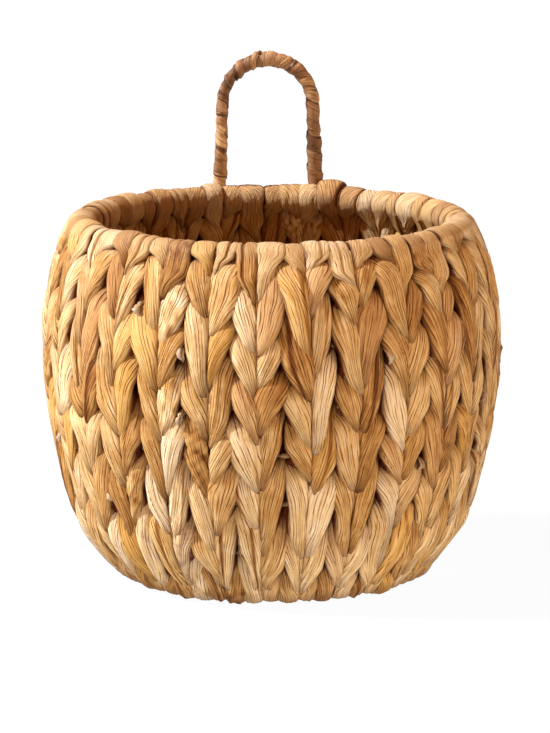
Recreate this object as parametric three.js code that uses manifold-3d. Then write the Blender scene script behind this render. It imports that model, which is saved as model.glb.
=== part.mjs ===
// Seagrass wall basket: a round, full-bellied basket of flat dried stems twined over a wire frame,
// with a wrapped wire loop that stands up from the back of its rim. Millimetres, +Z up, front at -Y.
import * as THREE from 'three';
import { mergeVertices } from 'three/addons/utils/BufferGeometryUtils.js';
import Module from 'manifold-3d';

const wasm = await Module();
wasm.setup();

// Body sizes
const bodyHeight = 207;
const bellyDiameter = 260;
const rimDiameter = 214;
const footDiameter = 168;
const footFlat = 10;
const braidThickness = 17;
const braidColumns = 28;
const columnTurn = THREE.MathUtils.degToRad(-3.2);

// Depth of the hollows that the leaves leave in a braid's outer face where their tips cross
const leafTipDrop = 3.5;

// Wall rows from the rim wire down to the foot wire: shares of the height between those two wires,
// and of the swell to the belly, from the rim in the upper rows and from the foot in the others.
const rowHeightShares = [1, 0.908, 0.755, 0.576, 0.434, 0.287, 0.132, 0];
const rowSwellShares = [0, 0.52, 0.95, 0.99, 0.907, 0.752, 0.504, 0];
const upperRows = 3;

// Wire frame sizes
const wireDiameter = 3;
const baseWires = 4;
const baseBraids = 5;

// Hanging loop sizes
const loopWireDiameter = 5;
const loopRise = 78.4;
const loopArchRadius = 26.7;
const loopFootSpread = 57;
const loopTurn = THREE.MathUtils.degToRad(1.27);
const loopSides = 8;
const loopSteps = 48;

// Leaf strip wound round the loop wire
const stripWidth = 5.8;
const stripThickness = 1.6;
const stripTurns = 21;
const stripStepsPerTurn = 24;
const stripBendRun = 4.5;
const stripEndShare = 0.5;
const stripSectionShares = [[1, 0], [0.5, 1], [-0.5, 1], [-1, 0], [-0.5, -1], [0.5, -1]];

// Fits
const seatGap = 0.3;
const cutOverrun = 2;

// Places worked out from the sizes
const halfBraid = braidThickness / 2;
const rimRadius = rimDiameter / 2;
const footRadius = footDiameter / 2;
const bellyRadius = bellyDiameter / 2 - halfBraid;
const rimWireHeight = bodyHeight - halfBraid;
const footWireHeight = halfBraid;
const columnHalfAngle = Math.PI / braidColumns;
const flatShare = Math.cos(columnHalfAngle);
const rows = rowHeightShares.map((heightShare, row) => {
  const endRadius = row < upperRows ? rimRadius : footRadius;
  const radius = THREE.MathUtils.lerp(endRadius, bellyRadius, rowSwellShares[row]);
  const height = THREE.MathUtils.lerp(footWireHeight, rimWireHeight, heightShare);
  return new THREE.Vector2(radius, height);
});
const lastRow = rows.length - 1;

// Materials
const leafColours = ['#c99f62', '#d2ab70', '#bf9257', '#cda56b'];
const leafMaterial = (index) => new THREE.MeshStandardMaterial({
  color: leafColours[index % leafColours.length],
  roughness: 0.72,
  metalness: 0,
});
const stripMaterial = new THREE.MeshStandardMaterial({ color: '#a9794a', roughness: 0.66, metalness: 0 });
const wireMaterial = new THREE.MeshStandardMaterial({ color: '#8f8577', roughness: 0.45, metalness: 0.85 });

function toSolid(geometry) {
  const bare = geometry.clone();
  bare.deleteAttribute('normal');
  bare.deleteAttribute('uv');
  const merged = mergeVertices(bare);
  const mesh = new wasm.Mesh({
    numProp: 3,
    vertProperties: new Float32Array(merged.attributes.position.array),
    triVerts: new Uint32Array(merged.index.array),
  });
  return new wasm.Manifold(mesh);
}

function toGeometry(solid) {
  const mesh = solid.getMesh();
  const geometry = new THREE.BufferGeometry();
  geometry.setAttribute('position', new THREE.Float32BufferAttribute(mesh.vertProperties, 3));
  geometry.setIndex(Array.from(mesh.triVerts));
  geometry.computeVertexNormals();
  return geometry;
}

function cutAway(geometry, tools) {
  let solid = toSolid(geometry);
  for (const tool of tools) {
    solid = solid.subtract(toSolid(tool));
  }
  return toGeometry(solid);
}

function namedMesh(name, geometry, material) {
  const mesh = new THREE.Mesh(geometry, material);
  mesh.name = name;
  return mesh;
}

// A braid's profile on its sides and on its middle plane. It lies half a braid from the wall's middle
// line, closes round the rim wire at the top and stands on a flat at the foot. On the outer face the
// leaves slant down from the sides to the middle: their tips leave hollows on the sides in the upper
// half of each row, and on the middle in the lower half. The first row's leaves turn over the rim, so
// its sides have none.
function braidOutline() {
  const middle = new THREE.SplineCurve(rows);
  const offsetPoint = (station, height) => {
    const along = middle.getTangent(station / lastRow);
    const outward = new THREE.Vector2(-along.y, along.x);
    return middle.getPoint(station / lastRow).addScaledVector(outward, height);
  };
  const leaves = [];
  for (let half = 0; half < 2 * lastRow; half += 1) {
    const station = half / 2 + 1 / 4;
    const upperHalf = half % 2 === 0;
    const sideDrop = upperHalf && half > 0 ? leafTipDrop : 0;
    const middleDrop = upperHalf ? 0 : leafTipDrop;
    leaves.push({
      side: offsetPoint(station, halfBraid - sideDrop),
      middle: offsetPoint(station, halfBraid - middleDrop),
    });
  }
  const rim = rows[0];
  const upward = middle.getTangent(0).negate();
  const sideways = new THREE.Vector2(upward.y, -upward.x);
  const crest = [-1, 0, 1].map((side) => {
    const direction = upward.clone().addScaledVector(sideways, side).normalize();
    return rim.clone().addScaledVector(direction, halfBraid);
  });
  const foot = [
    new THREE.Vector2(footRadius + footFlat / 2, 0),
    new THREE.Vector2(footRadius - footFlat / 2, 0),
    new THREE.Vector2(footRadius - halfBraid, footWireHeight),
  ];
  const halfwayRows = [upperRows - 1 / 2, lastRow - 1 / 2];
  const stations = [...rows.keys(), ...halfwayRows].sort((one, other) => other - one);
  const inner = stations.map((station) => offsetPoint(station, -halfBraid));
  const plain = (points) => points.map((point) => ({ side: point, middle: point }));
  return [
    ...plain([...crest, offsetPoint(0, halfBraid)]),
    ...leaves,
    ...plain([offsetPoint(lastRow, halfBraid), ...foot, ...inner]),
  ];
}

function squarePath(centre, half) {
  const corners = [[-1, -1], [1, -1], [1, 1], [-1, 1]];
  return new THREE.Path(corners.map(([across, up]) => {
    return new THREE.Vector2(centre.x + across * half, centre.y + up * half);
  }));
}

// One braid column: a pair of stem ropes between two upright planes through the basket's axis. The
// profile is extruded in two steps, and its ends and its middle are laid on three such planes.
function braidGeometry() {
  const outline = braidOutline();
  const shape = new THREE.Shape(outline.map((place) => place.side));
  const depth = braidThickness;
  const geometry = new THREE.ExtrudeGeometry(shape, { depth, steps: 2, bevelEnabled: false });
  const points = geometry.attributes.position;
  // The second rope's squares are split along their other diagonal, so that both ropes slant inwards
  const walls = geometry.groups[1];
  for (let square = walls.start; square < walls.start + walls.count; square += 6) {
    if (points.getZ(square) >= depth / 2) {
      points.setXYZ(square + 2, points.getX(square + 4), points.getY(square + 4), points.getZ(square + 4));
      points.setXYZ(square + 3, points.getX(square), points.getY(square), points.getZ(square));
    }
  }
  for (let index = 0; index < points.count; index += 1) {
    const corner = new THREE.Vector2(points.getX(index), points.getY(index));
    const place = outline.find(({ side }) => side.distanceTo(corner) < seatGap);
    const turn = 1 - (2 * points.getZ(index)) / depth;
    const { x, y } = turn === 0 ? place.middle : place.side;
    const reach = x * Math.sin(columnHalfAngle) - seatGap / 2 / flatShare;
    points.setXYZ(index, x * flatShare, turn * reach, y);
  }
  return geometry;
}

// A frame ring: one straight side of square wire for each braid column.
function ringGeometry(centre, margin) {
  const half = wireDiameter / 2 + margin;
  const profile = squarePath(centre, half).getPoints();
  profile.push(profile[0].clone());
  const start = columnTurn + columnHalfAngle;
  const geometry = new THREE.LatheGeometry(profile, braidColumns, start, Math.PI * 2);
  geometry.rotateX(Math.PI / 2);
  return geometry;
}

// Base: wires that lie across the foot wire, and braids that run over them from front to back.
const baseWireHeight = footWireHeight + wireDiameter + seatGap;
const baseRadius = (footRadius - halfBraid) * flatShare - seatGap;
const baseBraidWidth = 2 * baseRadius / baseBraids;

function baseWirePlace(index) {
  const spacing = 2 * baseRadius / baseWires;
  return (index - (baseWires - 1) / 2) * spacing;
}

function baseWireGeometry(index, margin) {
  const place = baseWirePlace(index);
  const seat = footRadius + wireDiameter / 2;
  const length = 2 * (Math.sqrt(seat * seat - place * place) + margin);
  const width = wireDiameter + 2 * margin;
  const geometry = new THREE.BoxGeometry(length, width, width);
  geometry.translate(0, place, baseWireHeight);
  return geometry;
}

function baseBraidGeometry(index, channels) {
  const place = (index - (baseBraids - 1) / 2) * baseBraidWidth;
  const tall = braidThickness + 2 * cutOverrun;
  const strip = new THREE.BoxGeometry(baseBraidWidth - seatGap, bellyDiameter, braidThickness);
  strip.translate(place, 0, braidThickness / 2);
  const disc = new THREE.CylinderGeometry(baseRadius, baseRadius, tall, 2 * braidColumns);
  disc.rotateX(Math.PI / 2);
  disc.translate(0, 0, braidThickness / 2);
  const slab = toGeometry(toSolid(strip).intersect(toSolid(disc)));
  return cutAway(slab, channels);
}

// The loop's legs pass behind the rim wire, inside the wall, and stand on the next wire down. Each
// leg rises to a round arch. In its own frame the loop stands at +Y.
const loopFootHalf = loopFootSpread / 2;
const loopHalf = loopWireDiameter / 2;
const wireToLeg = wireDiameter / 2 + loopHalf + seatGap;
const legBackAt = (radius) => Math.sqrt(radius * radius - loopFootHalf * loopFootHalf);
const loopBack = legBackAt(rimRadius + wireToLeg);
const legBack = legBackAt(rows[1].x * flatShare);
const stripReach = loopHalf + seatGap + stripThickness;
const archHeight = bodyHeight + loopRise - stripReach - loopArchRadius;
const legBottom = rows[1].y + wireDiameter / 2 + seatGap;
const legLean = (legBack - loopBack) / (rimWireHeight - rows[1].y);

class LoopCurve extends THREE.Curve {
  constructor(endMargin = 0) {
    super();
    const bottom = legBottom - endMargin;
    const bottomBack = loopBack + legLean * (rimWireHeight - bottom);
    const corners = [
      new THREE.Vector3(-loopFootHalf, bottomBack, bottom),
      new THREE.Vector3(-loopFootHalf, loopBack, rimWireHeight),
      new THREE.Vector3(-loopArchRadius, loopBack, archHeight),
    ];
    this.lower = new THREE.LineCurve3(corners[0], corners[1]);
    this.upper = new THREE.LineCurve3(corners[1], corners[2]);
    this.lowerLength = corners[0].distanceTo(corners[1]);
    this.upperLength = corners[1].distanceTo(corners[2]);
    this.archLength = Math.PI * loopArchRadius;
    this.length = 2 * (this.lowerLength + this.upperLength) + this.archLength;
  }

  getPointAlong(distance, target = new THREE.Vector3()) {
    if (distance > this.length / 2) {
      this.getPointAlong(this.length - distance, target);
      target.x = -target.x;
      return target;
    }
    if (distance < this.lowerLength) {
      return this.lower.getPoint(distance / this.lowerLength, target);
    }
    const risen = distance - this.lowerLength;
    if (risen < this.upperLength) {
      return this.upper.getPoint(risen / this.upperLength, target);
    }
    const angle = (risen - this.upperLength) / loopArchRadius;
    const across = -Math.cos(angle) * loopArchRadius;
    return target.set(across, loopBack, archHeight + Math.sin(angle) * loopArchRadius);
  }

  getPoint(share, target = new THREE.Vector3()) {
    return this.getPointAlong(share * this.length, target);
  }
}

function loopWireGeometry(margin) {
  const section = new THREE.Shape();
  for (let side = 0; side < loopSides; side += 1) {
    const angle = (side * 2 * Math.PI) / loopSides;
    const across = Math.cos(angle) * (loopHalf + margin);
    const up = Math.sin(angle) * (loopHalf + margin);
    if (side === 0) {
      section.moveTo(across, up);
    } else {
      section.lineTo(across, up);
    }
  }
  const extrudePath = new LoopCurve(margin);
  return new THREE.ExtrudeGeometry(section, { steps: loopSteps, bevelEnabled: false, extrudePath });
}

// The strip's route as turn angle and distance along the loop: each end rises straight out of the rim
// and bends into the winding.
function stripRoute(curve) {
  const startHeight = bodyHeight + seatGap;
  const start = curve.lowerLength + startHeight - rimWireHeight;
  const reach = curve.length - 2 * start;
  const ringRadius = stripReach - stripThickness / 2;
  const endRun = stripWidth * stripEndShare;
  const bendAngle = stripBendRun / ringRadius;
  const windAngle = stripTurns * 2 * Math.PI - 2 * bendAngle;
  const windStart = endRun + stripBendRun;
  const climb = (reach - 2 * windStart) / (windAngle + 2 * bendAngle);
  const bend = new THREE.QuadraticBezierCurve(
    new THREE.Vector2(0, endRun),
    new THREE.Vector2(0, windStart),
    new THREE.Vector2(bendAngle, windStart + climb * bendAngle),
  );
  const stepAngle = (2 * Math.PI) / stripStepsPerTurn;
  const bendSteps = Math.ceil(bendAngle / stepAngle) + 2;
  const opening = [new THREE.Vector2(0, 0)];
  for (let step = 0; step < bendSteps; step += 1) {
    opening.push(bend.getPoint(step / bendSteps));
  }
  const windSteps = Math.round(windAngle / stepAngle);
  const winding = [];
  for (let step = 0; step <= windSteps; step += 1) {
    const angle = bendAngle + (windAngle * step) / windSteps;
    winding.push(new THREE.Vector2(angle, windStart + climb * angle));
  }
  const last = windAngle + 2 * bendAngle;
  const closing = opening.map((place) => new THREE.Vector2(last - place.x, reach - place.y)).reverse();
  const places = [...opening, ...winding, ...closing];
  return places.map((place) => ({
    angle: place.x,
    distance: start + place.y,
    width: Math.min(1, stripEndShare + (Math.min(place.y, reach - place.y) / windStart) * stripEndShare),
  }));
}

function stripGeometry() {
  const curve = new LoopCurve();
  const ringRadius = stripReach - stripThickness / 2;
  const back = new THREE.Vector3(0, 1, 0);
  const probe = loopHalf / stripStepsPerTurn;
  const route = stripRoute(curve).map((place) => {
    const centre = curve.getPointAlong(place.distance);
    const ahead = curve.getPointAlong(place.distance + probe);
    const forward = ahead.sub(curve.getPointAlong(place.distance - probe)).normalize();
    const side = new THREE.Vector3().crossVectors(forward, back);
    const outward = side.multiplyScalar(Math.cos(place.angle)).addScaledVector(back, Math.sin(place.angle));
    centre.addScaledVector(outward, ringRadius);
    return { centre, outward, width: place.width };
  });
  const positions = [];
  route.forEach((place, index) => {
    const before = route[Math.max(0, index - 1)].centre;
    const after = route[Math.min(route.length - 1, index + 1)].centre;
    const forward = new THREE.Vector3().subVectors(after, before).normalize();
    const across = new THREE.Vector3().crossVectors(forward, place.outward).normalize();
    for (const [acrossShare, outShare] of stripSectionShares) {
      const point = place.centre.clone();
      point.addScaledVector(across, (acrossShare * place.width * stripWidth) / 2);
      point.addScaledVector(place.outward, (outShare * stripThickness) / 2);
      positions.push(point.x, point.y, point.z);
    }
  });
  const sides = stripSectionShares.length;
  const faces = [];
  for (let ring = 0; ring + 1 < route.length; ring += 1) {
    for (let side = 0; side < sides; side += 1) {
      const near = ring * sides + side;
      const next = ring * sides + ((side + 1) % sides);
      faces.push(near, next + sides, next, near, near + sides, next + sides);
    }
  }
  const lastRing = (route.length - 1) * sides;
  for (let side = 1; side + 1 < sides; side += 1) {
    faces.push(0, side, side + 1);
    faces.push(lastRing, lastRing + side + 1, lastRing + side);
  }
  const geometry = new THREE.BufferGeometry();
  geometry.setAttribute('position', new THREE.Float32BufferAttribute(positions, 3));
  geometry.setIndex(faces);
  geometry.computeVertexNormals();
  return geometry;
}

// The least gap between points of the strip that are more than half a turn apart along it.
function leastSelfGap(geometry) {
  const points = geometry.attributes.position;
  const sides = stripSectionShares.length;
  const apart = (stripStepsPerTurn / 2) * sides;
  const here = new THREE.Vector3();
  const there = new THREE.Vector3();
  let least = Infinity;
  for (let first = 0; first < points.count; first += 1) {
    here.fromBufferAttribute(points, first);
    for (let second = first + apart; second < points.count; second += 1) {
      there.fromBufferAttribute(points, second);
      least = Math.min(least, here.distanceToSquared(there));
    }
  }
  return Math.sqrt(least);
}

function buildWall(group) {
  const column = braidGeometry();
  const channels = rows.map((row) => ringGeometry(row, seatGap));
  for (let index = 0; index < baseWires; index += 1) {
    channels.push(baseWireGeometry(index, seatGap));
  }
  channels.push(loopWireGeometry(seatGap).rotateZ(loopTurn));
  for (let index = 0; index < braidColumns; index += 1) {
    const angle = columnTurn + 2 * columnHalfAngle * index - Math.PI / 2;
    const tools = channels.map((channel) => channel.clone().rotateZ(-angle));
    const number = String(index + 1).padStart(2, '0');
    const mesh = namedMesh(`wall_braid_${number}`, cutAway(column, tools), leafMaterial(index));
    mesh.rotation.z = angle;
    group.add(mesh);
  }
  rows.forEach((row, index) => {
    const inner = `wall_wire_${index}`;
    const name = index === 0 ? 'rim_wire' : index === lastRow ? 'foot_wire' : inner;
    group.add(namedMesh(name, ringGeometry(row, 0), wireMaterial));
  });
}

function buildBase(group) {
  const channels = [];
  for (let index = 0; index < baseWires; index += 1) {
    channels.push(baseWireGeometry(index, seatGap));
    group.add(namedMesh(`base_wire_${index + 1}`, baseWireGeometry(index, 0), wireMaterial));
  }
  for (let index = 0; index < baseBraids; index += 1) {
    const geometry = baseBraidGeometry(index, channels);
    group.add(namedMesh(`base_braid_${index + 1}`, geometry, leafMaterial(index)));
  }
}

function buildLoop(group) {
  const loop = new THREE.Group();
  const strip = stripGeometry();
  loop.add(namedMesh('loop_wire', loopWireGeometry(0), wireMaterial));
  loop.add(namedMesh('loop_wrap', strip, stripMaterial));
  loop.rotation.z = loopTurn;
  group.add(loop);
  console.log(`loop_wrap least gap to itself ${leastSelfGap(strip).toFixed(2)} mm`);
}

const group = new THREE.Group();
buildWall(group);
buildBase(group);
buildLoop(group);

export default group;
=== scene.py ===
import math

import bmesh
import bpy
import numpy as np
from mathutils import Matrix


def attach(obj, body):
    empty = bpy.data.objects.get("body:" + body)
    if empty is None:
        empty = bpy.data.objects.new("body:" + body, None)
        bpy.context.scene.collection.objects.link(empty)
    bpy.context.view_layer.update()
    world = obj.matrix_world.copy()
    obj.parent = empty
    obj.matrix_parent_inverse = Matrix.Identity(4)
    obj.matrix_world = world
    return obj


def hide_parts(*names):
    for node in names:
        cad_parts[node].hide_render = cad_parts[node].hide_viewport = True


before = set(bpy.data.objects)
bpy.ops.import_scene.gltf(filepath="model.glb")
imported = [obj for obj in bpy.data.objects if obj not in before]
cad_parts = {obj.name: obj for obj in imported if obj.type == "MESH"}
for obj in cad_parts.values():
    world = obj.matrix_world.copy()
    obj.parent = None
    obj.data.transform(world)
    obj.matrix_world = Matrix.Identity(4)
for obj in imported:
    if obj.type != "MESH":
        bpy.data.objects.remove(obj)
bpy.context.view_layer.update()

MM = 0.001

# Camera, 2.2 m in front and looking 11 degrees down
camera_data = bpy.data.cameras.new("basket_camera")
camera_data.sensor_width = 36
camera_data.lens = 193.03
camera = bpy.data.objects.new("basket_camera", camera_data)
camera.location = (0.00196, -2.2, 0.5438)
camera.rotation_euler = (math.radians(90 - 10.966), 0, 0)
bpy.context.scene.collection.objects.link(camera)
bpy.context.scene.camera = camera

# The frame's sizes
rim_radius = 107.0
foot_radius = 84.0
belly_radius = 121.5
rim_height = 198.5
foot_height = 8.5
row_height_shares = [1, 0.908, 0.755, 0.576, 0.434, 0.287, 0.132, 0]
row_swell_shares = [0, 0.52, 0.95, 0.99, 0.907, 0.752, 0.504, 0]
upper_rows = 3
column_count = 28
column_turn = math.radians(-3.2)
rope_half_angle = math.pi / (2 * column_count)
wire_radius = 1.5
base_radius = 74.7
base_wire_height = 11.8
base_wire_gap = base_radius / 2
base_rope_gap = 2 * base_radius / 10
row_radii = []
row_heights = []
for row, swell in enumerate(row_swell_shares):
    end_radius = rim_radius if row < upper_rows else foot_radius
    row_radii.append(end_radius + (belly_radius - end_radius) * swell)
    row_heights.append(foot_height + (rim_height - foot_height) * row_height_shares[row])
row_points = np.array([row_radii, row_heights]).T
last_row = len(row_points) - 1


def smooth(value):
    """Eases a share from 0 to 1 and stays at either end beyond them."""
    share = np.clip(value, 0, 1)
    return share * share * (3 - 2 * share)


def mix(first, second, share):
    return first + (second - first) * share


def wall_line(row):
    """The wall's middle line as radius and height, and its outward direction, at any part row."""
    span = np.clip(np.floor(row).astype(int), 0, last_row - 1)
    share = (row - span)[:, None]
    before = row_points[np.maximum(span - 1, 0)]
    start = row_points[span]
    end = row_points[span + 1]
    after = row_points[np.minimum(span + 2, last_row)]
    pull_start = (end - before) / 2
    pull_end = (after - start) / 2
    cube = 2 * start - 2 * end + pull_start + pull_end
    square = -3 * start + 3 * end - 2 * pull_start - pull_end
    place = ((cube * share + square) * share + pull_start) * share + start
    along = (3 * cube * share + 2 * square) * share + pull_start
    along /= np.linalg.norm(along, axis=1)[:, None]
    outward = np.stack([-along[:, 1], along[:, 0]], axis=1)
    return place, outward


# Stem shape. A rope is two stems twined round the wires. Each stem shows one long petal outside the
# wires and the next one inside them.
steps_per_row = 18
fold_steps = 16
points_round = 48
spare_rows = 2
# As shares of a rope's half width: how far a petal may stand aside, and how far it has to reach
side_shift = 0.1
rope_cover = 1.07
# Fibres turn round their stem by so many radians for each row from their petal's middle, and are
# turned by so many at the rim and, the other way, at the foot
fibre_turn = 1.25
rim_turn = 0.9
# How far a petal's back stands over the middle of the wires when it is out and when it is tucked in,
# how much that varies, and what a petal that is broader than an even one adds
full_crown = 8.7
tucked_crown = -0.7
crown_spread = 0.5
crown_per_width = 2.6
even_width = 1.06
# Where a petal slips under the next one, as its reach, and the width of its hidden part as a share
tuck_start = 0.84
tuck_run = 0.14
hidden_width = 0.84

# Each petal's random values for its shape. The shade, tint and stain of its material follow them.
petal_draws = 6
PLACE, WIDTH, CROWN, SLANT, FOLD_PLACE, FOLD_DEPTH = range(petal_draws)

# What the material reads at each point of a stem, and where the first five of these stand
look_names = ("shade", "tint", "stain", "rib", "painted_shade", "spin", "tight")
SHADE, TINT, STAIN, RIB, PAINTED_SHADE = range(5)


def petal_values(row, first, values):
    """A face of a stem has one petal every second row. Gives each place's signed and plain distance
    from its petal's middle, in rows, and that petal's drawn values."""
    place = (row - first) / 2
    lower = np.floor(place).astype(int)
    share = place - lower
    change = smooth((share - 0.44) / 0.12)
    lean = 2 * (share - change)
    reach = 1 - np.abs(2 * share - 1)
    index = first + 2 * lower + spare_rows
    low = values[np.clip(index, 0, len(values) - 1)]
    high = values[np.clip(index + 2, 0, len(values) - 1)]
    return lean, reach, mix(low, high, change[:, None])


def leaf_width(lean):
    """A petal is broad over its upper half and tapers to a point at its lower end."""
    below = np.clip((lean + 0.25) / 1.25, 0, 1)
    above = np.clip((-0.45 - lean) / 0.55, 0, 1)
    return 1.06 - 0.92 * below ** 1.15 - 0.3 * above ** 1.5


def leaf_place(lean):
    """Where a petal's middle is across its rope: it slants, and more so towards its point."""
    return 0.06 + 0.5 * lean + 0.38 * np.maximum(lean, 0) ** 1.4


def leaf_crown(lean, reach):
    """Height of a petal's back over the middle of the wires. Its point lies on the next petal's
    shoulder before it tucks in."""
    upper = smooth(0.5 - 2 * lean)
    middle = (full_crown + tucked_crown) / 2
    swing = (full_crown - tucked_crown) / 2
    return middle + swing * np.cos(math.pi * reach ** mix(4.6, 1.9, upper))


def slow_noise(rng, share, waves, fall=1.0):
    """A smooth random line that meets itself after one round."""
    total = np.zeros_like(share)
    for wave in range(1, waves + 1):
        size = rng.normal() / wave ** fall
        total += size * np.cos(2 * math.pi * (wave * share + rng.random()))
    return total


def draw_petals(rng):
    """Random values for each row's petal. Leaves of one stem are a little alike in tone."""
    shapes = rng.normal(size=(last_row + 6, petal_draws))
    stem_tone = rng.random(3)
    tones = 0.3 * stem_tone + 0.7 * rng.random(size=(last_row + 6, 3))
    tones[:, SHADE] = 0.5 + 0.75 * (tones[:, SHADE] - 0.5)
    return np.hstack([shapes, tones])


def petal_widen(drawn):
    """How many times as broad as its outline a petal is."""
    return np.clip(1.1 + 0.2 * drawn[:, WIDTH], 0.92, 1.55)


def extra_crown(drawn, widen):
    """How much higher a petal stands than an even one: broad petals bulge more."""
    return crown_spread * drawn[:, CROWN] + crown_per_width * (widen - even_width)


def stem_faces(row, first, hand, half_width, values, ease_ends):
    """A stem's two faces at each row place: centre and half width across, crown, reach, drawn values,
    and how far its fibres have turned round it. The outer face comes first."""
    faces = []
    for face in (0, 1):
        lean, reach, drawn = petal_values(row, (first + face) % 2, values)
        turning = np.zeros(len(row))
        if ease_ends:
            turning = 1 - smooth(np.minimum(row, last_row - row) / 0.5)
            lean = lean * (1 - turning)
        side = hand if face == 0 else -hand
        slant = np.clip(1 + 0.22 * drawn[:, SLANT], 0.6, 1.45)
        centre = side * slant * leaf_place(lean) * (1 - turning) + side_shift * drawn[:, PLACE]
        widen = petal_widen(drawn)
        width = leaf_width(lean - 0.45 * turning) * widen
        # Neighbours meet: no petal's long edges stop short of its rope's sides
        inner_short = np.clip(rope_cover - side * centre - width, 0, 1) * smooth((lean + 0.7) / 0.3)
        outer_short = np.clip(rope_cover + side * centre - width, 0, 1) * smooth((-0.05 - lean) / 0.3)
        width = width + (inner_short + outer_short) / 2
        centre = centre + side * (inner_short - outer_short) / 2
        spin = fibre_turn * (1 + 0.2 * drawn[:, FOLD_PLACE]) * lean
        faces.append({
            "centre": centre * half_width,
            "width": width * half_width,
            "crown": leaf_crown(lean, reach) + extra_crown(drawn, widen) * (1 - reach),
            "reach": reach,
            "drawn": drawn,
            "spin": hand * (spin + rim_turn * (1 - 2 * row / last_row)),
        })
    outer, inner = faces
    hide_outer = smooth((outer["reach"] - tuck_start) / tuck_run)
    hide_inner = smooth((inner["reach"] - tuck_start) / tuck_run)
    outer_leaf = dict(outer)
    inner_leaf = dict(inner)
    for key, share in (("centre", 1), ("width", hidden_width)):
        outer[key] = mix(outer_leaf[key], share * inner_leaf[key], hide_outer)
        inner[key] = mix(inner_leaf[key], share * outer_leaf[key], hide_inner)
    return outer, inner


def pleat_pattern(rng):
    """Heights for the lines of points that run along a stem: narrow furrows between round ribs."""
    rib_height = 0.22
    flat_share = 0.3
    heights = np.full(points_round, rib_height)
    line = rng.integers(0, 3)
    while line < points_round:
        draw = rng.random()
        if draw > flat_share:
            heights[line] = -0.15 - 0.95 * ((draw - flat_share) / (1 - flat_share)) ** 1.6
        line += rng.integers(3, 9)
    return heights


# Crumples have a generator of their own, so they leave all else that is drawn as it is
crumple_random = np.random.default_rng(40)


def crumple_pattern(stations, round_angle):
    """Sharp ridges in several directions, as on a crushed leaf."""
    crumple = np.zeros((stations, points_round))
    for _ in range(5):
        along_wave, around_wave, start = crumple_random.normal(size=3)
        along_phase = 0.42 * along_wave * np.arange(stations)[:, None]
        around_phase = 2.6 * around_wave * round_angle[None, :]
        crumple += np.abs(np.sin(along_phase + around_phase + 3 * start)) - 0.64
    return crumple


def section_points(outer, inner, flips, tight, rng):
    """Rings of points for a stem: across and outward from the wires, and the looks that the material
    reads. Where it is pulled tight, it is flatter."""
    stations = len(flips)
    share = np.arange(stations) / stations
    for face in (outer, inner):
        face["width"] = face["width"] * (1 + 0.035 * slow_noise(rng, share, 24, 0.3))
    # Points lie closer together on a stem's two faces than at its sides
    even = np.arange(points_round) / points_round * 2 * math.pi
    round_angle = even + 0.22 * np.sin(2 * even)
    up = np.sin(round_angle)[None, :] * flips[:, None]
    across = np.cos(round_angle)[None, :]
    fullness = smooth((up + 0.35) / 0.7)
    rise = np.sign(up) * np.abs(up) ** (0.65 - 0.3 * tight[:, None])
    inner_x = inner["centre"][:, None] + inner["width"][:, None] * across
    outer_x = outer["centre"][:, None] + outer["width"][:, None] * across
    x = mix(inner_x, outer_x, fullness)
    tone = mix(
        inner["drawn"][:, None, petal_draws:], outer["drawn"][:, None, petal_draws:],
        fullness[:, :, None],
    )
    middle = (outer["crown"] - inner["crown"])[:, None] / 2
    half_depth = (outer["crown"] + inner["crown"])[:, None] / 2
    z = middle + half_depth * rise

    # Ribs and furrows follow the fibres and change slowly along the stem
    spin = mix(inner["spin"][:, None], outer["spin"][:, None], fullness)
    spin = spin * flips[:, None] / (2 * math.pi)
    line = (np.arange(points_round)[None, :] + spin * points_round) % points_round
    before = np.floor(line).astype(int) % points_round
    after = (before + 1) % points_round
    patterns = [pleat_pattern(rng) for _ in range(4)]
    patterns = [mix(pattern[before], pattern[after], line % 1) for pattern in patterns]
    weights = np.exp([1.6 * slow_noise(rng, share, 10, 0.3) for _ in patterns])
    weights /= weights.sum(axis=0)
    ribs = sum(weight[:, None] * pattern for weight, pattern in zip(weights, patterns))
    calm = 0.75 + 0.35 * np.tanh(slow_noise(rng, share, 8, 0.4))
    ribs *= (calm * (1 - 0.5 * tight))[:, None]
    # A few leaves are crumpled, where the stain value is low
    crumpled = 0.5 * smooth((0.27 - tone[:, :, STAIN]) / 0.12) * (1 - tight[:, None])
    ribs += crumpled * crumple_pattern(stations, round_angle)
    # A leaf may have one long fold
    for face, side in ((outer, 1), (inner, -1)):
        drawn = face["drawn"]
        fold_place = (0.5 + 0.16 * drawn[:, FOLD_PLACE]) * math.pi
        fold_angle = np.arccos(np.clip(across * side * flips[:, None], -1, 1))
        fold_size = 0.9 * np.clip(drawn[:, FOLD_DEPTH] - 0.1, 0, 1.6)
        fold_size = fold_size * smooth((1 - face["reach"]) / 0.4)
        gap = (fold_angle - fold_place[:, None]) / 0.16
        ribs -= fold_size[:, None] * np.exp(-gap ** 2) * (up * side > 0)
    step_x = np.roll(x, -1, axis=1) - np.roll(x, 1, axis=1)
    step_z = np.roll(z, -1, axis=1) - np.roll(z, 1, axis=1)
    length = np.hypot(step_x, step_z) + 0.05
    room = np.clip(length / 1.1, 0.25, 1)
    x = x + step_z / length * ribs * room
    z = z - step_x / length * ribs * room

    # Painted shade: leaves are darkened at their sides and where they go under the next one, where
    # shade falls
    reach = np.where(up > 0, outer["reach"][:, None], inner["reach"][:, None])
    at_side = 1 - smooth((np.abs(up) - 0.16) / 0.6)
    going_under = np.maximum(smooth((reach - 0.58) / 0.26), 0.4 * smooth((reach - 0.25) / 0.5))
    painted_shade = np.maximum(at_side, going_under)
    pulled = tight[:, None] * np.ones_like(spin)
    looks = np.concatenate([tone, np.stack([ribs, painted_shade, spin, pulled], axis=2)], axis=2)
    return x, z, looks


def round_spots(radius, angle, height):
    """Points in metres, by their distance from the basket's axis, angle from the front and height."""
    return np.stack([radius * np.sin(angle), -radius * np.cos(angle), height], axis=2) * MM


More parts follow.
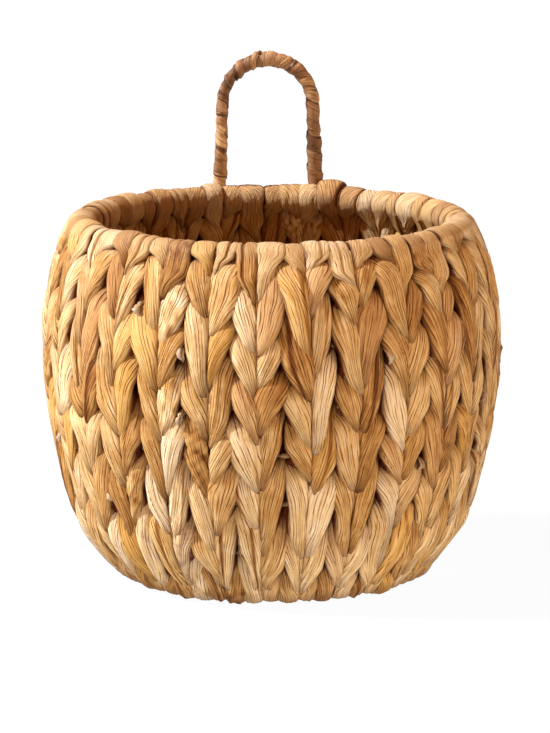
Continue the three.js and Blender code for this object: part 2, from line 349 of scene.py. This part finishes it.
def wall_rope_side(row, drift, first, flip, hand, values):
    """One face of the wall, as a part of a stem: its places on the wall's line and its section."""
    place, outward = wall_line(row)
    half_width = rope_half_angle * place[:, 0]
    outer, inner = stem_faces(row + drift, first, hand, half_width, values, ease_ends=True)
    return {
        "place": place, "outward": outward, "outer": outer, "inner": inner,
        "flip": np.full(len(row), flip), "tight": 1 - smooth(row / 0.7),
    }


def wall_rope_fold(row, flip, hand, values, lift=0.0):
    """The turn of a stem round the rim wire or the foot wire, lifted where it climbs a loop leg."""
    place, outward = wall_line(np.full(fold_steps, float(row)))
    along = np.stack([outward[:, 1], -outward[:, 0]], axis=1)
    beyond = along if row else -along
    turn = math.pi * (np.arange(fold_steps) + 0.5) / fold_steps
    direction = -outward * np.cos(turn)[:, None] + beyond * np.sin(turn)[:, None]
    half_width = rope_half_angle * place[:, 0]
    drawn = np.tile(values[row + spare_rows], (fold_steps, 1))
    bulge = np.sin(turn)
    slant = 0.1 * drawn[:, SLANT] * bulge * np.cos(turn)
    centre = (side_shift * drawn[:, PLACE] + slant) * half_width
    widen = petal_widen(drawn)
    width = leaf_width(-0.45) * widen * half_width * (1 + 0.1 * bulge)
    crown = full_crown + extra_crown(drawn, widen) + (lift - 0.9) * bulge
    spin = (hand if row else -hand) * rim_turn * np.cos(turn)
    outer = {
        "centre": centre, "width": width, "crown": crown,
        "reach": np.zeros(fold_steps), "drawn": drawn, "spin": spin,
    }
    inner = {
        "centre": centre, "width": hidden_width * width, "crown": np.full(fold_steps, tucked_crown),
        "reach": np.ones(fold_steps), "drawn": drawn, "spin": spin,
    }
    return {
        "place": place, "outward": direction, "outer": outer, "inner": inner,
        "flip": np.full(fold_steps, flip), "tight": np.full(fold_steps, 0.0 if row else 1.0),
    }


wall_rows = np.arange(last_row * steps_per_row) / steps_per_row
# No stem comes lower over the floor than this
lowest_spot = 0.02
# Stems at these places climb a little way up the loop's legs where they wrap over the rim
leg_wraps = np.radians([161.5, 201])
leg_wrap_lift = 3.5


def wall_rope(rng, azimuth, hand, sway):
    """One rope of the wall, as one closed stem: under the foot wire, up one face of the wires, over
    the rim wire, and down the other face. Sway moves it sideways."""
    going_down = draw_petals(rng)
    going_up = draw_petals(rng)
    going_up[spare_rows] = going_down[spare_rows]
    going_down[last_row + spare_rows] = going_up[last_row + spare_rows]
    # Rows drift up and down, and the first one under the rim hangs lower or higher
    drift = 0.12 * slow_noise(rng, wall_rows / (2 * last_row), 9, 0.3)
    rim_drop = np.clip(0.2 + 0.2 * rng.normal(), -0.15, 0.55)
    drift -= rim_drop * (1 - smooth((wall_rows - 1.2) / 1.6))
    drift *= smooth(wall_rows / 0.8) * smooth((last_row - wall_rows) / 0.8)
    gaps = (azimuth - leg_wraps) / rope_half_angle
    lift = float(leg_wrap_lift * np.exp(-gaps ** 2).sum())
    parts = [
        wall_rope_fold(last_row, -1, hand, going_up),
        wall_rope_side(last_row - wall_rows, drift[::-1], 1, -1, hand, going_up),
        wall_rope_fold(0, 1, hand, going_down, lift),
        wall_rope_side(wall_rows, drift, 0, 1, hand, going_down),
    ]
    whole = {}
    for key in ("place", "outward", "flip", "tight"):
        whole[key] = np.concatenate([part[key] for part in parts])
    for face in ("outer", "inner"):
        whole[face] = {}
        for key in parts[0][face]:
            whole[face][key] = np.concatenate([part[face][key] for part in parts])
    place = whole["place"]
    outward = whole["outward"]
    x, z, looks = section_points(whole["outer"], whole["inner"], whole["flip"], whole["tight"], rng)
    radius = place[:, :1] + outward[:, :1] * z
    height = np.maximum(place[:, 1:] + outward[:, 1:] * z, lowest_spot)
    foot_sway = np.full(fold_steps, sway[-1])
    rim_sway = np.full(fold_steps, sway[0])
    aside = np.concatenate([foot_sway, sway[::-1], rim_sway, sway])
    # Painted shade: stems are darker towards the foot, as in the shadow near the floor
    foot_painted_shade = 0.6 * smooth((foot_height + 3 - height) / 11)
    looks[:, :, PAINTED_SHADE] = np.maximum(looks[:, :, PAINTED_SHADE], foot_painted_shade)
    angle = azimuth + (x + aside[:, None]) / place[:, :1]
    return round_spots(radius, angle, height), looks


def frayed_end(rng, azimuth, row, length, thick, out, lean):
    """A loose end of a stem: it comes out of the weave, lies down the wall and is frayed. Azimuth
    is in degrees, and lean is how far it goes sideways."""
    steps, around = 9, 12
    share = np.linspace(0, 1, steps)
    place, outward = wall_line(np.full(steps, float(row)))
    along = np.stack([outward[:, 1], -outward[:, 0]], axis=1)
    bend = slow_noise(rng, share, 2)
    middle = place + along * (length * share)[:, None]
    middle = middle + outward * (out * np.sin(2.2 * share + 0.3) + 0.3 * bend)[:, None]
    size = thick * np.minimum(1, 3 * share + 0.5) * (1 - 0.3 * share)
    size = size * (1 + 0.15 * rng.normal(size=steps))
    size[[0, -1]] = 0.05
    turn = np.arange(around) / around * 2 * math.pi
    ribs = 1 + 0.3 * rng.normal(size=(1, around)) * np.ones((steps, 1))
    across = (lean * share)[:, None] + size[:, None] * ribs * np.cos(turn)
    lift = 0.7 * size[:, None] * ribs * np.sin(turn)
    radius = middle[:, :1] + outward[:, :1] * lift
    height = middle[:, 1:] + outward[:, 1:] * lift
    angle = math.radians(azimuth) + across / middle[:, :1]
    looks = np.zeros((steps, around, len(look_names)))
    looks[:, :, SHADE] = 0.9 + 0.1 * bend[:, None]
    looks[:, :, TINT] = 0.9
    looks[:, :, RIB] = ribs - 1.1
    # Painted shade at its root, where it comes out of the weave
    looks[:, :, PAINTED_SHADE] = 0.5 * (1 - smooth(3 * share))[:, None]
    return round_spots(radius, angle, height), looks


def smooth_piece(name, shape):
    """Makes a bmesh into a smooth-shaded object of the scene."""
    bmesh.ops.recalc_face_normals(shape, faces=shape.faces)
    mesh = bpy.data.meshes.new(name)
    shape.to_mesh(mesh)
    shape.free()
    mesh.polygons.foreach_set("use_smooth", [True] * len(mesh.polygons))
    piece = bpy.data.objects.new(name, mesh)
    bpy.context.scene.collection.objects.link(piece)
    return piece


def stem_piece(name, stems, closed_along=True):
    """Joins stems into one piece. Each starts as a flat grid, which is laid onto its places."""
    shape = bmesh.new()
    layers = [shape.verts.layers.float.new(key) for key in look_names]
    shape.loops.layers.uv.verify()
    for spots, looks in stems:
        stations, around = spots.shape[:2]
        spans = stations if closed_along else stations - 1
        made = bmesh.ops.create_grid(
            shape, x_segments=spans, y_segments=around, size=1, calc_uvs=True
        )
        for vert in made["verts"]:
            along = round((vert.co.x + 1) / 2 * spans) % stations
            side = round((vert.co.y + 1) / 2 * around) % around
            vert.co = spots[along, side]
            for layer, value in zip(layers, looks[along, side]):
                vert[layer] = value
        bmesh.ops.remove_doubles(shape, verts=made["verts"], dist=1e-7)
    return smooth_piece(name, shape)


def finish_piece(piece, material, slot, *nodes):
    """Dresses a piece, ties it to the part's one body and lets it stand for its nodes."""
    piece.data.materials.append(material)
    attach(piece, "root")
    if nodes:
        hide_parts(*nodes)


# Materials
def linear(hex_colour):
    """An sRGB hex colour as linear red, green, blue and alpha."""
    parts = [int(hex_colour[place:place + 2], 16) / 255 for place in (1, 3, 5)]
    parts = [part / 12.92 if part <= 0.04045 else ((part + 0.055) / 1.055) ** 2.4 for part in parts]
    return (*parts, 1)


def add_node(tree, kind, settings=None, links=None, values=None, stops=()):
    """Adds a node with its settings, its input values, the sockets that feed it, and the stops of its
    colour ramp, each a place and a hex colour."""
    node = tree.nodes.new(kind)
    for key, value in (settings or {}).items():
        setattr(node, key, value)
    for key, value in (values or {}).items():
        node.inputs[key].default_value = value
    for key, socket in (links or {}).items():
        tree.links.new(socket, node.inputs[key])
    for _ in stops[2:]:
        node.color_ramp.elements.new(0.5)
    for number, (place, colour) in enumerate(stops):
        node.color_ramp.elements[number].position = place
        node.color_ramp.elements[number].color = linear(colour)
    return node


def stem_material(name, tone_stops, along_mm, around_mm, relief, gloss):
    """Dried water hyacinth stem, flattened by hand: matt and fibrous, a little different from leaf to
    leaf, with painted light and shade from the height of its ribs, and painted shade in its pleats
    and furrows and where it tucks under the next one. Relief is how much its pleats, fibres and dents
    show."""
    material = bpy.data.materials.new(name)
    material.use_nodes = True
    tree = material.node_tree
    shader = tree.nodes["Principled BSDF"]
    reads = {}
    for key in look_names:
        reads[key] = add_node(tree, "ShaderNodeAttribute", {"attribute_name": key}).outputs["Fac"]
    map_spot = add_node(tree, "ShaderNodeUVMap").outputs["UV"]
    flat = add_node(tree, "ShaderNodeSeparateXYZ", {}, {"Vector": map_spot})
    turned = add_node(
        tree, "ShaderNodeMath", {"operation": "ADD"}, {0: flat.outputs["Y"], 1: reads["spin"]}
    ).outputs[0]
    map_spot = add_node(
        tree, "ShaderNodeCombineXYZ", {}, {"X": flat.outputs["X"], "Y": turned}
    ).outputs["Vector"]
    where = add_node(tree, "ShaderNodeTexCoord").outputs["Object"]

    # Grain that follows the stem, as its length and its spacing in millimetres. Fibres are a little
    # coarser than real ones so that they show, pleats wander slowly, and they come and go.
    grain = {}
    for key, length, spacing, detail in (
        ("fibres", 20, 0.6, 3), ("wander", 50, 30, 2), ("strength", 16, 2.2, 2)
    ):
        stretched = add_node(
            tree, "ShaderNodeMapping", {}, {"Vector": map_spot},
            {"Scale": (along_mm / length, around_mm / spacing, 1)},
        ).outputs["Vector"]
        grain[key] = add_node(
            tree, "ShaderNodeTexNoise", {}, {"Vector": stretched},
            {"Scale": 1, "Detail": detail, "Roughness": 0.58},
        ).outputs["Fac"]
    # Patches in every direction: 9 mm where the leaf dried lighter or darker, 2.4 mm dents
    for key, size, detail in (("blotches", 9, 4), ("dents", 2.4, 3)):
        grain[key] = add_node(
            tree, "ShaderNodeTexNoise", {}, {"Vector": where},
            {"Scale": 1000 / size, "Detail": detail, "Roughness": 0.58},
        ).outputs["Fac"]

    # Pleats: lines that run along the stem, about so many millimetres apart, and wander sideways by
    # up to so many of these gaps
    pleat_gap = 1.8
    pleat_wander = 7
    wander = add_node(
        tree, "ShaderNodeMath", {"operation": "MULTIPLY"}, {0: grain["wander"]}, {1: pleat_wander}
    ).outputs[0]
    pleat_spot = add_node(
        tree, "ShaderNodeMath", {"operation": "MULTIPLY_ADD"}, {0: turned, 2: wander},
        {1: around_mm / pleat_gap},
    ).outputs[0]
    pleat = add_node(
        tree, "ShaderNodeTexVoronoi", {"voronoi_dimensions": "1D", "feature": "DISTANCE_TO_EDGE"},
        {"W": pleat_spot}, {"Scale": 1, "Randomness": 1},
    ).outputs["Distance"]
    wet = add_node(
        tree, "ShaderNodeMath", {"operation": "MULTIPLY_ADD"},
        {0: grain["blotches"], 2: reads["stain"]}, {1: 0.5},
    ).outputs[0]

    # Shares that ease from one value to another while what they read goes from start to end
    shares = {}
    for key, socket, start, end, low, high in (
        ("line", pleat, 0.15, 0.02, 0, 1),
        ("strength", grain["strength"], 0.34, 0.66, 0, 1.15 * relief),
        ("loose", reads["tight"], 0, 1, 1, 0.6),
        ("rubbed", reads["tight"], 0, 1, 0, 0.4),
        ("pink", reads["tint"], 0.68, 0.95, 0, 0.35),
        ("golden", reads["tint"], 0.36, 0.08, 0, 0.6),
        ("wet", wet, 1.1, 1.3, 0, 0.85),
        # Painted shade in the stem's furrows
        ("furrow_shade", reads["rib"], -0.1, -0.8, 0, 0.55),
        ("rough", grain["fibres"], 0.3, 0.7, 0.8 - 0.6 * gloss, 1 - 0.4 * gloss),
    ):
        shares[key] = add_node(
            tree, "ShaderNodeMapRange", {"interpolation_type": "SMOOTHSTEP"}, {"Value": socket},
            {"From Min": start, "From Max": end, "To Min": low, "To Max": high},
        ).outputs["Result"]
    # Pleats come and go along a stem, and show less where it is pulled tight over the rim
    pleats = shares["line"]
    for key in ("strength", "loose"):
        pleats = add_node(
            tree, "ShaderNodeMath", {"operation": "MULTIPLY"}, {0: pleats, 1: shares[key]}
        ).outputs[0]

    # A leaf's own shade, with patches and fibres, and painted light and shade from the height of its
    # ribs. What these add on average comes off first.
    shade = add_node(
        tree, "ShaderNodeMath", {"operation": "SUBTRACT"}, {0: reads["shade"]},
        {1: 0.34 + 0.67 * relief},
    ).outputs[0]
    for socket, size in (
        (grain["blotches"], 0.6), (grain["fibres"], 1.3 * relief), (reads["rib"], 0.25)
    ):
        shade = add_node(
            tree, "ShaderNodeMath", {"operation": "MULTIPLY_ADD"}, {0: socket, 2: shade}, {1: size}
        ).outputs[0]
    ramp = add_node(tree, "ShaderNodeValToRGB", {}, {"Fac": shade}, stops=tone_stops)
    # Pink and golden leaves, pale ones where they are rubbed on the rim, marks where a leaf got wet,
    # painted shade in its pleats and furrows, and painted shade where stems tuck under, at their sides
    # and towards the foot
    tone = ramp.outputs["Color"]
    for blend, share, colour in (
        ("MIX", shares["pink"], "#b98a63"),
        ("MIX", shares["golden"], "#cf9f48"),
        ("MIX", shares["rubbed"], "#b99d7a"),
        ("MULTIPLY", shares["wet"], "#864616"),
        ("MULTIPLY", pleats, "#9a5c22"),
        ("MULTIPLY", shares["furrow_shade"], "#8c4e14"),
        ("MULTIPLY", reads["painted_shade"], "#6a3610"),
    ):
        tone = add_node(
            tree, "ShaderNodeMix", {"data_type": "RGBA", "blend_type": blend},
            {"Factor": share, "A": tone}, {"B": linear(colour)},
        ).outputs["Result"]
    tree.links.new(tone, shader.inputs["Base Color"])
    tree.links.new(shares["rough"], shader.inputs["Roughness"])

    height = add_node(
        tree, "ShaderNodeMath", {"operation": "MULTIPLY"}, {0: grain["fibres"]}, {1: 0.5}
    ).outputs[0]
    height = add_node(
        tree, "ShaderNodeMath", {"operation": "MULTIPLY_ADD"}, {0: pleats, 2: height}, {1: -0.6}
    ).outputs[0]
    fibre_bump = add_node(
        tree, "ShaderNodeBump", {}, {"Height": height}, {"Strength": relief, "Distance": 0.001}
    ).outputs["Normal"]
    dent_bump = add_node(
        tree, "ShaderNodeBump", {}, {"Height": grain["dents"], "Normal": fibre_bump},
        {"Strength": 0.4 * relief, "Distance": 0.0008},
    ).outputs["Normal"]
    tree.links.new(dent_bump, shader.inputs["Normal"])
    shader.inputs["Specular IOR Level"].default_value = gloss / 2
    return material


# The ropes' stems: straw to honey brown and nearly matt, with all their pleats and fibres
leaf_tones = [(0.0, "#8c5c2c"), (0.3, "#b88d51"), (0.62, "#d9bc8c"), (1.0, "#efe1ca")]
dried_stem = stem_material(
    "dried_stem", leaf_tones, along_mm=440, around_mm=34, relief=1, gloss=0.3
)
# The strip round the loop: dried leaf too, but flat, browner, smoother and a little glossier
strip_tones = [(0.0, "#583a22"), (0.35, "#7c593b"), (0.65, "#a27d59"), (1.0, "#d0b088")]
wound_strip = stem_material(
    "wound_strip", strip_tones, along_mm=500, around_mm=30, relief=0.65, gloss=0.6
)

# Tan powder coat on steel wire: dull, slightly grainy, and browner in patches where it has rubbed.
# Its grain is 0.8 mm, coarser than real so that it shows.
coated_wire = bpy.data.materials.new("coated_wire")
coated_wire.use_nodes = True
tree = coated_wire.node_tree
shader = tree.nodes["Principled BSDF"]
where = add_node(tree, "ShaderNodeTexCoord").outputs["Object"]
rubbed = add_node(
    tree, "ShaderNodeTexNoise", {}, {"Vector": where}, {"Scale": 90, "Detail": 3}
).outputs["Fac"]
grain = add_node(
    tree, "ShaderNodeTexNoise", {}, {"Vector": where}, {"Scale": 1250, "Detail": 2}
).outputs["Fac"]
coat_tones = [(0.35, "#7f5c38"), (0.65, "#a27f56")]
coat = add_node(tree, "ShaderNodeValToRGB", {}, {"Fac": rubbed}, stops=coat_tones)
tree.links.new(coat.outputs["Color"], shader.inputs["Base Color"])
dullness = add_node(
    tree, "ShaderNodeMapRange", {}, {"Value": rubbed},
    {"From Min": 0.3, "From Max": 0.7, "To Min": 0.42, "To Max": 0.62},
)
tree.links.new(dullness.outputs["Result"], shader.inputs["Roughness"])
grain_bump = add_node(
    tree, "ShaderNodeBump", {}, {"Height": grain}, {"Strength": 0.3, "Distance": 0.0004}
)
tree.links.new(grain_bump.outputs["Normal"], shader.inputs["Normal"])

# Floor: matt white paper. Most of its light is its own, so that it stays pale round a soft shadow.
floor_mesh = bpy.data.meshes.new("floor")
shape = bmesh.new()
bmesh.ops.create_grid(shape, x_segments=2, y_segments=2, size=12)
shape.to_mesh(floor_mesh)
shape.free()
floor = bpy.data.objects.new("floor", floor_mesh)
bpy.context.scene.collection.objects.link(floor)
paper = bpy.data.materials.new("paper_floor")
paper.use_nodes = True
paper_shader = paper.node_tree.nodes["Principled BSDF"]
paper_shader.inputs["Base Color"].default_value = linear("#1d1d1d")
paper_shader.inputs["Roughness"].default_value = 0.9
paper_shader.inputs["Emission Color"].default_value = linear("#fdfeff")
paper_shader.inputs["Emission Strength"].default_value = 0.97
floor_mesh.materials.append(paper)

# Wall ropes: a column sways a little from side to side, and less towards the foot
rope_random = np.random.default_rng(28)
foot_calm = 0.15 + 0.85 * smooth((last_row - wall_rows) / 4)
for column in range(column_count):
    middle = column_turn + 2 * math.pi * column / column_count
    ropes = []
    sway = 0.6 * slow_noise(rope_random, wall_rows / (2 * last_row), 4) * foot_calm
    for hand in (1, -1):
        ropes.append(wall_rope(rope_random, middle - hand * rope_half_angle, hand, sway))
    number = f"{column + 1:02d}"
    piece = stem_piece(f"wall_rope_pair_{number}", ropes)
    finish_piece(piece, dried_stem, "leaf", f"wall_braid_{number}")

# Loose ends: places round the wall in degrees and rows, length, thickness, height over the wires and
# lean. They come out of the gaps between the columns, beside the wires.
end_random = np.random.default_rng(3)
loose_ends = [
    (-35.6, 1.34, 9, 2.1, 8.4, 1.5), (-22.9, 2, 10, 2.2, 8.2, 2), (-22.2, 3.02, 10, 2.2, 8.4, -2.5),
    (29.3, 2.06, 11, 2.1, 8.4, 2), (42, 4.18, 8, 1.8, 8, -1.5), (-48.6, 4.88, 9, 2, 8, 2),
    (67.5, 3.06, 9, 2, 8.4, -2), (106, 2.06, 9, 2, 8.4, 2), (145, 4.06, 9, 2, 8, 2),
    (-74, 4.06, 9, 2, 8, 2), (-112.5, 3.06, 9, 2, 8.4, 2), (-151, 5.06, 9, 2, 8, -2),
]
stems = [frayed_end(end_random, *place) for place in loose_ends]
piece = stem_piece("loose_stem_ends", stems, closed_along=False)
finish_piece(piece, dried_stem, "leaf")

# Frame wires: round rings, spun from one round section
ring_names = ["rim_wire"] + [f"wall_wire_{row}" for row in range(1, last_row)] + ["foot_wire"]
for (radius, height), node in zip(row_points, ring_names):
    shape = bmesh.new()
    section = bmesh.ops.create_circle(shape, segments=10, radius=wire_radius * MM)
    turn_up = Matrix.Rotation(math.pi / 2, 3, "X")
    bmesh.ops.rotate(shape, verts=section["verts"], matrix=turn_up)
    bmesh.ops.translate(shape, verts=section["verts"], vec=(radius * MM, 0, height * MM))
    bmesh.ops.spin(
        shape, geom=shape.verts[:] + shape.edges[:], cent=(0, 0, 0), axis=(0, 0, 1),
        angle=2 * math.pi, steps=112, use_merge=True,
    )
    piece = smooth_piece(f"{node}_round", shape)
    finish_piece(piece, coated_wire, "wire", node)

# Base ropes: twined from front to back over the four base wires
base_random = np.random.default_rng(5)
base_middle_height = 9.2
base_rope_steps = 30
base_rope_reach = base_radius + 4.5
base_rope_cover = 1.04
base_rope_taper = 3


def base_rope(rng, across, hand):
    """The two stems of one base rope. Their ends run in between the feet of the wall ropes."""
    reach = math.sqrt(base_rope_reach ** 2 - across ** 2)
    steps = int(2 * reach / (2 * base_wire_gap) * base_rope_steps)
    y = np.linspace(-reach, reach, steps)
    row = (y + 1.5 * base_wire_gap) / base_wire_gap
    half_width = np.full(steps, base_rope_cover * base_rope_gap / 2)
    taper = np.minimum(1, (reach - np.abs(y)) / base_rope_taper) ** 0.5
    stems = []
    for first in (0, 1):
        values = draw_petals(rng)
        outer, inner = stem_faces(row + 2, first, hand, half_width, values, ease_ends=False)
        x, z, looks = section_points(outer, inner, np.ones(steps), np.zeros(steps), rng)
        middle = (outer["crown"] - inner["crown"])[:, None] / 2
        x = mix(outer["centre"][:, None], x, taper[:, None])
        z = mix(middle, z, taper[:, None])
        height = np.maximum(base_middle_height - z, lowest_spot)
        spots = np.stack([across + x, y[:, None] * np.ones_like(x), height], axis=2) * MM
        stems.append((spots, looks))
    return stems


for pair in range(5):
    middle = (pair - 2) * 2 * base_rope_gap
    stems = []
    for hand in (1, -1):
        stems += base_rope(base_random, middle - hand * base_rope_gap / 2, hand)
    piece = stem_piece(f"base_rope_pair_{pair + 1}", stems, closed_along=False)
    finish_piece(piece, dried_stem, "leaf", f"base_braid_{pair + 1}")

# Base wires, with ends a little rounded
wire_end_bevel = 0.4
for wire in range(4):
    place = (wire - 1.5) * base_wire_gap
    length = 2 * math.sqrt((foot_radius + wire_radius) ** 2 - place ** 2)
    shape = bmesh.new()
    bmesh.ops.create_cone(
        shape, cap_ends=True, segments=12, radius1=wire_radius * MM, radius2=wire_radius * MM,
        depth=length * MM,
    )
    rims = [edge for edge in shape.edges if abs(edge.verts[0].co.z - edge.verts[1].co.z) < 1e-6]
    bmesh.ops.bevel(
        shape, geom=rims, offset=wire_end_bevel * MM, affect="EDGES", segments=2, profile=0.5,
        material=-1,
    )
    lay_down = Matrix.Rotation(math.pi / 2, 3, "Y")
    bmesh.ops.rotate(shape, verts=shape.verts[:], matrix=lay_down)
    bmesh.ops.translate(shape, verts=shape.verts[:], vec=(0, place * MM, base_wire_height * MM))
    node = f"base_wire_{wire + 1}"
    piece = smooth_piece(f"{node}_round", shape)
    finish_piece(piece, coated_wire, "wire", node)

# Hanging loop: a stiff wire with a leaf strip wound round it
loop_foot_half = 28.5
loop_arch_radius = 26.7
loop_arch_height = 254.3
loop_back = 107.59
leg_bottom_back = 110.2
leg_bottom = 182.8
loop_wire_radius = 2.5
loop_turn = math.radians(1.27)
leg_length = rim_height - leg_bottom
side_length = math.hypot(loop_foot_half - loop_arch_radius, loop_arch_height - rim_height)
arch_length = math.pi * loop_arch_radius
loop_length = 2 * (leg_length + side_length) + arch_length


def loop_places(distance):
    """Centres along the loop and the directions to its outer side, in its own frame at +Y."""
    near = np.minimum(distance, loop_length - distance)
    mirror = np.where(distance > loop_length / 2, -1.0, 1.0)
    leg = np.clip(near / leg_length, -1, 1)
    side = np.clip((near - leg_length) / side_length, 0, 1)
    arch = np.maximum(near - leg_length - side_length, 0) / loop_arch_radius
    x = -loop_foot_half + (loop_foot_half - loop_arch_radius) * side
    x = np.where(arch > 0, -loop_arch_radius * np.cos(arch), x)
    z = leg_bottom + leg_length * leg + (loop_arch_height - rim_height) * side
    z = np.where(arch > 0, loop_arch_height + loop_arch_radius * np.sin(arch), z)
    y = mix(leg_bottom_back, loop_back, np.clip(leg, 0, 1))
    centre = np.stack([x * mirror, y, z], axis=-1)
    outer = np.stack([-np.cos(arch) * mirror, np.zeros_like(arch), np.sin(arch)], axis=-1)
    return centre, outer


def loop_points(distance, angle, radius):
    """Points in metres round the loop's wire. The angle goes from the loop's outer side to its back."""
    centre, outer = loop_places(distance)
    back = np.array([0, 1, 0])
    away = outer * np.cos(angle)[..., None] + back * np.sin(angle)[..., None]
    point = centre + away * radius[..., None]
    x, y, z = point[..., 0], point[..., 1], point[..., 2]
    cos, sin = math.cos(loop_turn), math.sin(loop_turn)
    return np.stack([x * cos - y * sin, x * sin + y * cos, z], axis=-1) * MM


loop_random = np.random.default_rng(21)
rod_steps = 120
rod_round = 16
rod_distance = np.linspace(0, loop_length, rod_steps)[:, None] * np.ones((1, rod_round))
rod_angle = np.arange(rod_round) / rod_round * 2 * math.pi * np.ones((rod_steps, 1))
rod_radius = np.full((rod_steps, rod_round), loop_wire_radius)
rod_radius[[0, -1]] = 0
rod_spots = loop_points(rod_distance, rod_angle, rod_radius)
rod_looks = np.zeros((rod_steps, rod_round, len(look_names)))
rod = stem_piece("loop_rod", [(rod_spots, rod_looks)], closed_along=False)
finish_piece(rod, coated_wire, "wire", "loop_wire")

# The strip overlaps itself: each turn lies on the edge of the turn before it
wrap_turns = 20.6
wrap_steps = 30
wrap_width = 15.0
wrap_thickness = 0.42
wrap_columns = 12
wrap_clearance = 0.5
wrap_bottom = 203.5
wrap_start = leg_length + wrap_bottom - rim_height
# Shares of the strip's length at which its free edge stands up
lifted_places = (0.1, 0.22, 0.31, 0.47, 0.52, 0.63, 0.72, 0.835, 0.93)
steps = int(wrap_turns * wrap_steps)
share = np.arange(steps) / (steps - 1)
wind = share * wrap_turns * 2 * math.pi
middle = mix(wrap_start, loop_length - wrap_start, share)
edge = np.linspace(-1, 1, wrap_columns)
column = np.concatenate([edge, edge[::-1]])
upper = np.concatenate([np.ones(wrap_columns), -np.ones(wrap_columns)])
half = wrap_width / 2 * (1 + 0.1 * slow_noise(loop_random, share, 40, 0.4))
distance = middle[:, None] + column[None, :] * half[:, None]
distance = np.clip(distance, wrap_start - 2, loop_length - wrap_start + 2)
lift = smooth((-0.1 - column) / 0.35)[None, :]
lifted_edges = np.zeros(steps)
for place in lifted_places:
    lifted_edges += np.exp(-((share - place) / 0.006) ** 2)
pleats = 0.09 * loop_random.normal(size=(1, wrap_columns))
pleats = np.concatenate([pleats, pleats[:, ::-1]], axis=1)
pleats = pleats * (1 + 0.8 * slow_noise(loop_random, share, 60, 0.3)[:, None])
crumple = np.exp(-((share - 0.48) / 0.09) ** 2)[:, None]
bulk = 0.2 * slow_noise(loop_random, share, 9, 0.4) + 0.6 * smooth((share - 0.45) / 0.3)
radius = loop_wire_radius + wrap_clearance + wrap_thickness * (0.5 + 1.15 * lift)
radius = radius + np.clip(bulk, -0.3, 1.2)[:, None] + pleats * (1 + 1.8 * crumple)
radius = radius + 0.5 * lifted_edges[:, None] * smooth((-0.6 - column) / 0.4)[None, :]
radius = radius + upper[None, :] * wrap_thickness / 2 * (1 - column[None, :] ** 8) ** 0.5
end_taper = smooth(np.minimum(share, 1 - share) / 0.01)[:, None]
radius = mix(loop_wire_radius + 0.2, radius, end_taper)
wrap_spots = loop_points(distance, wind[:, None], radius)
wrap_looks = np.zeros((steps, 2 * wrap_columns, len(look_names)))
wrap_looks[:, :, SHADE] = 0.5 + 0.12 * slow_noise(loop_random, share, 20, 0.4)[:, None]
wrap_looks[:, :, TINT] = 0.55
wrap_looks[:, :, RIB] = pleats * 3
# Painted shade along both edges of the strip, where its turns overlap
wrap_looks[:, :, PAINTED_SHADE] = 0.35 * smooth((np.abs(column) - 0.8) / 0.2)

# The strip's end stands up a little at the top of the loop
end_steps = 7
end_round = 12
end_place = loop_length / 2 - 5.8
share = np.linspace(0, 1, end_steps)[:, None]
turn = np.arange(end_round) / end_round * 2 * math.pi
size = 1.7 * np.sqrt(1 - share ** 3) * (1 + 0.25 * loop_random.normal(size=(1, end_round))) + 0.02
end_distance = end_place + 2 * share + size * np.cos(turn)
end_angle = -0.25 + size * np.sin(turn) / 5
end_spots = loop_points(end_distance, end_angle, 3 + 3 * share)
end_looks = np.zeros((end_steps, end_round, len(look_names)))
end_looks[:, :, SHADE] = 0.5
end_looks[:, :, TINT] = 0.55
wrap = stem_piece(
    "loop_wrap_strip", [(wrap_spots, wrap_looks), (end_spots, end_looks)], closed_along=False
)
finish_piece(wrap, wound_strip, "strip", "loop_wrap")

# Light: a pale backdrop stands round the horizon, with a dim warm room above it
world = bpy.data.worlds.new("studio")
world.use_nodes = True
studio = world.node_tree
direction = add_node(studio, "ShaderNodeTexCoord").outputs["Generated"]
upward = add_node(studio, "ShaderNodeSeparateXYZ", {}, {"Vector": direction}).outputs["Z"]
above = add_node(
    studio, "ShaderNodeMapRange", {"interpolation_type": "SMOOTHSTEP"}, {"Value": upward},
    {"From Min": 0.1, "From Max": 0.13},
).outputs["Result"]
room = add_node(
    studio, "ShaderNodeMix", {"data_type": "RGBA"}, {"Factor": above},
    {"A": linear("#fbfcfc"), "B": linear("#9b5a28")},
).outputs["Result"]
studio.links.new(room, studio.nodes["Background"].inputs["Color"])
studio.nodes["Background"].inputs["Strength"].default_value = 1
bpy.context.scene.world = world


def add_sun(name, energy, angle, tilt, turn, colour):
    """A soft sun. Tilt is how far from straight overhead it stands, and turn where it stands round:
    0 is in front and 90 on the right."""
    light = bpy.data.lights.new(name, "SUN")
    light.energy = energy
    light.angle = math.radians(angle)
    light.color = linear(colour)[:3]
    lamp = bpy.data.objects.new(name, light)
    lamp.rotation_euler = (math.radians(tilt), 0, math.radians(turn))
    bpy.context.scene.collection.objects.link(lamp)


# White light from the left, and low warm light from the right and the front, as a room gives back
add_sun("key", energy=6.4, angle=5, tilt=45, turn=-86, colour="#ffffff")
add_sun("side_bounce", energy=1.65, angle=1, tilt=89, turn=76, colour="#ffdaa6")
add_sun("front_bounce", energy=1.3, angle=1, tilt=89, turn=-22, colour="#ffd7a0")
bpy.context.scene.view_settings.view_transform = "Standard"
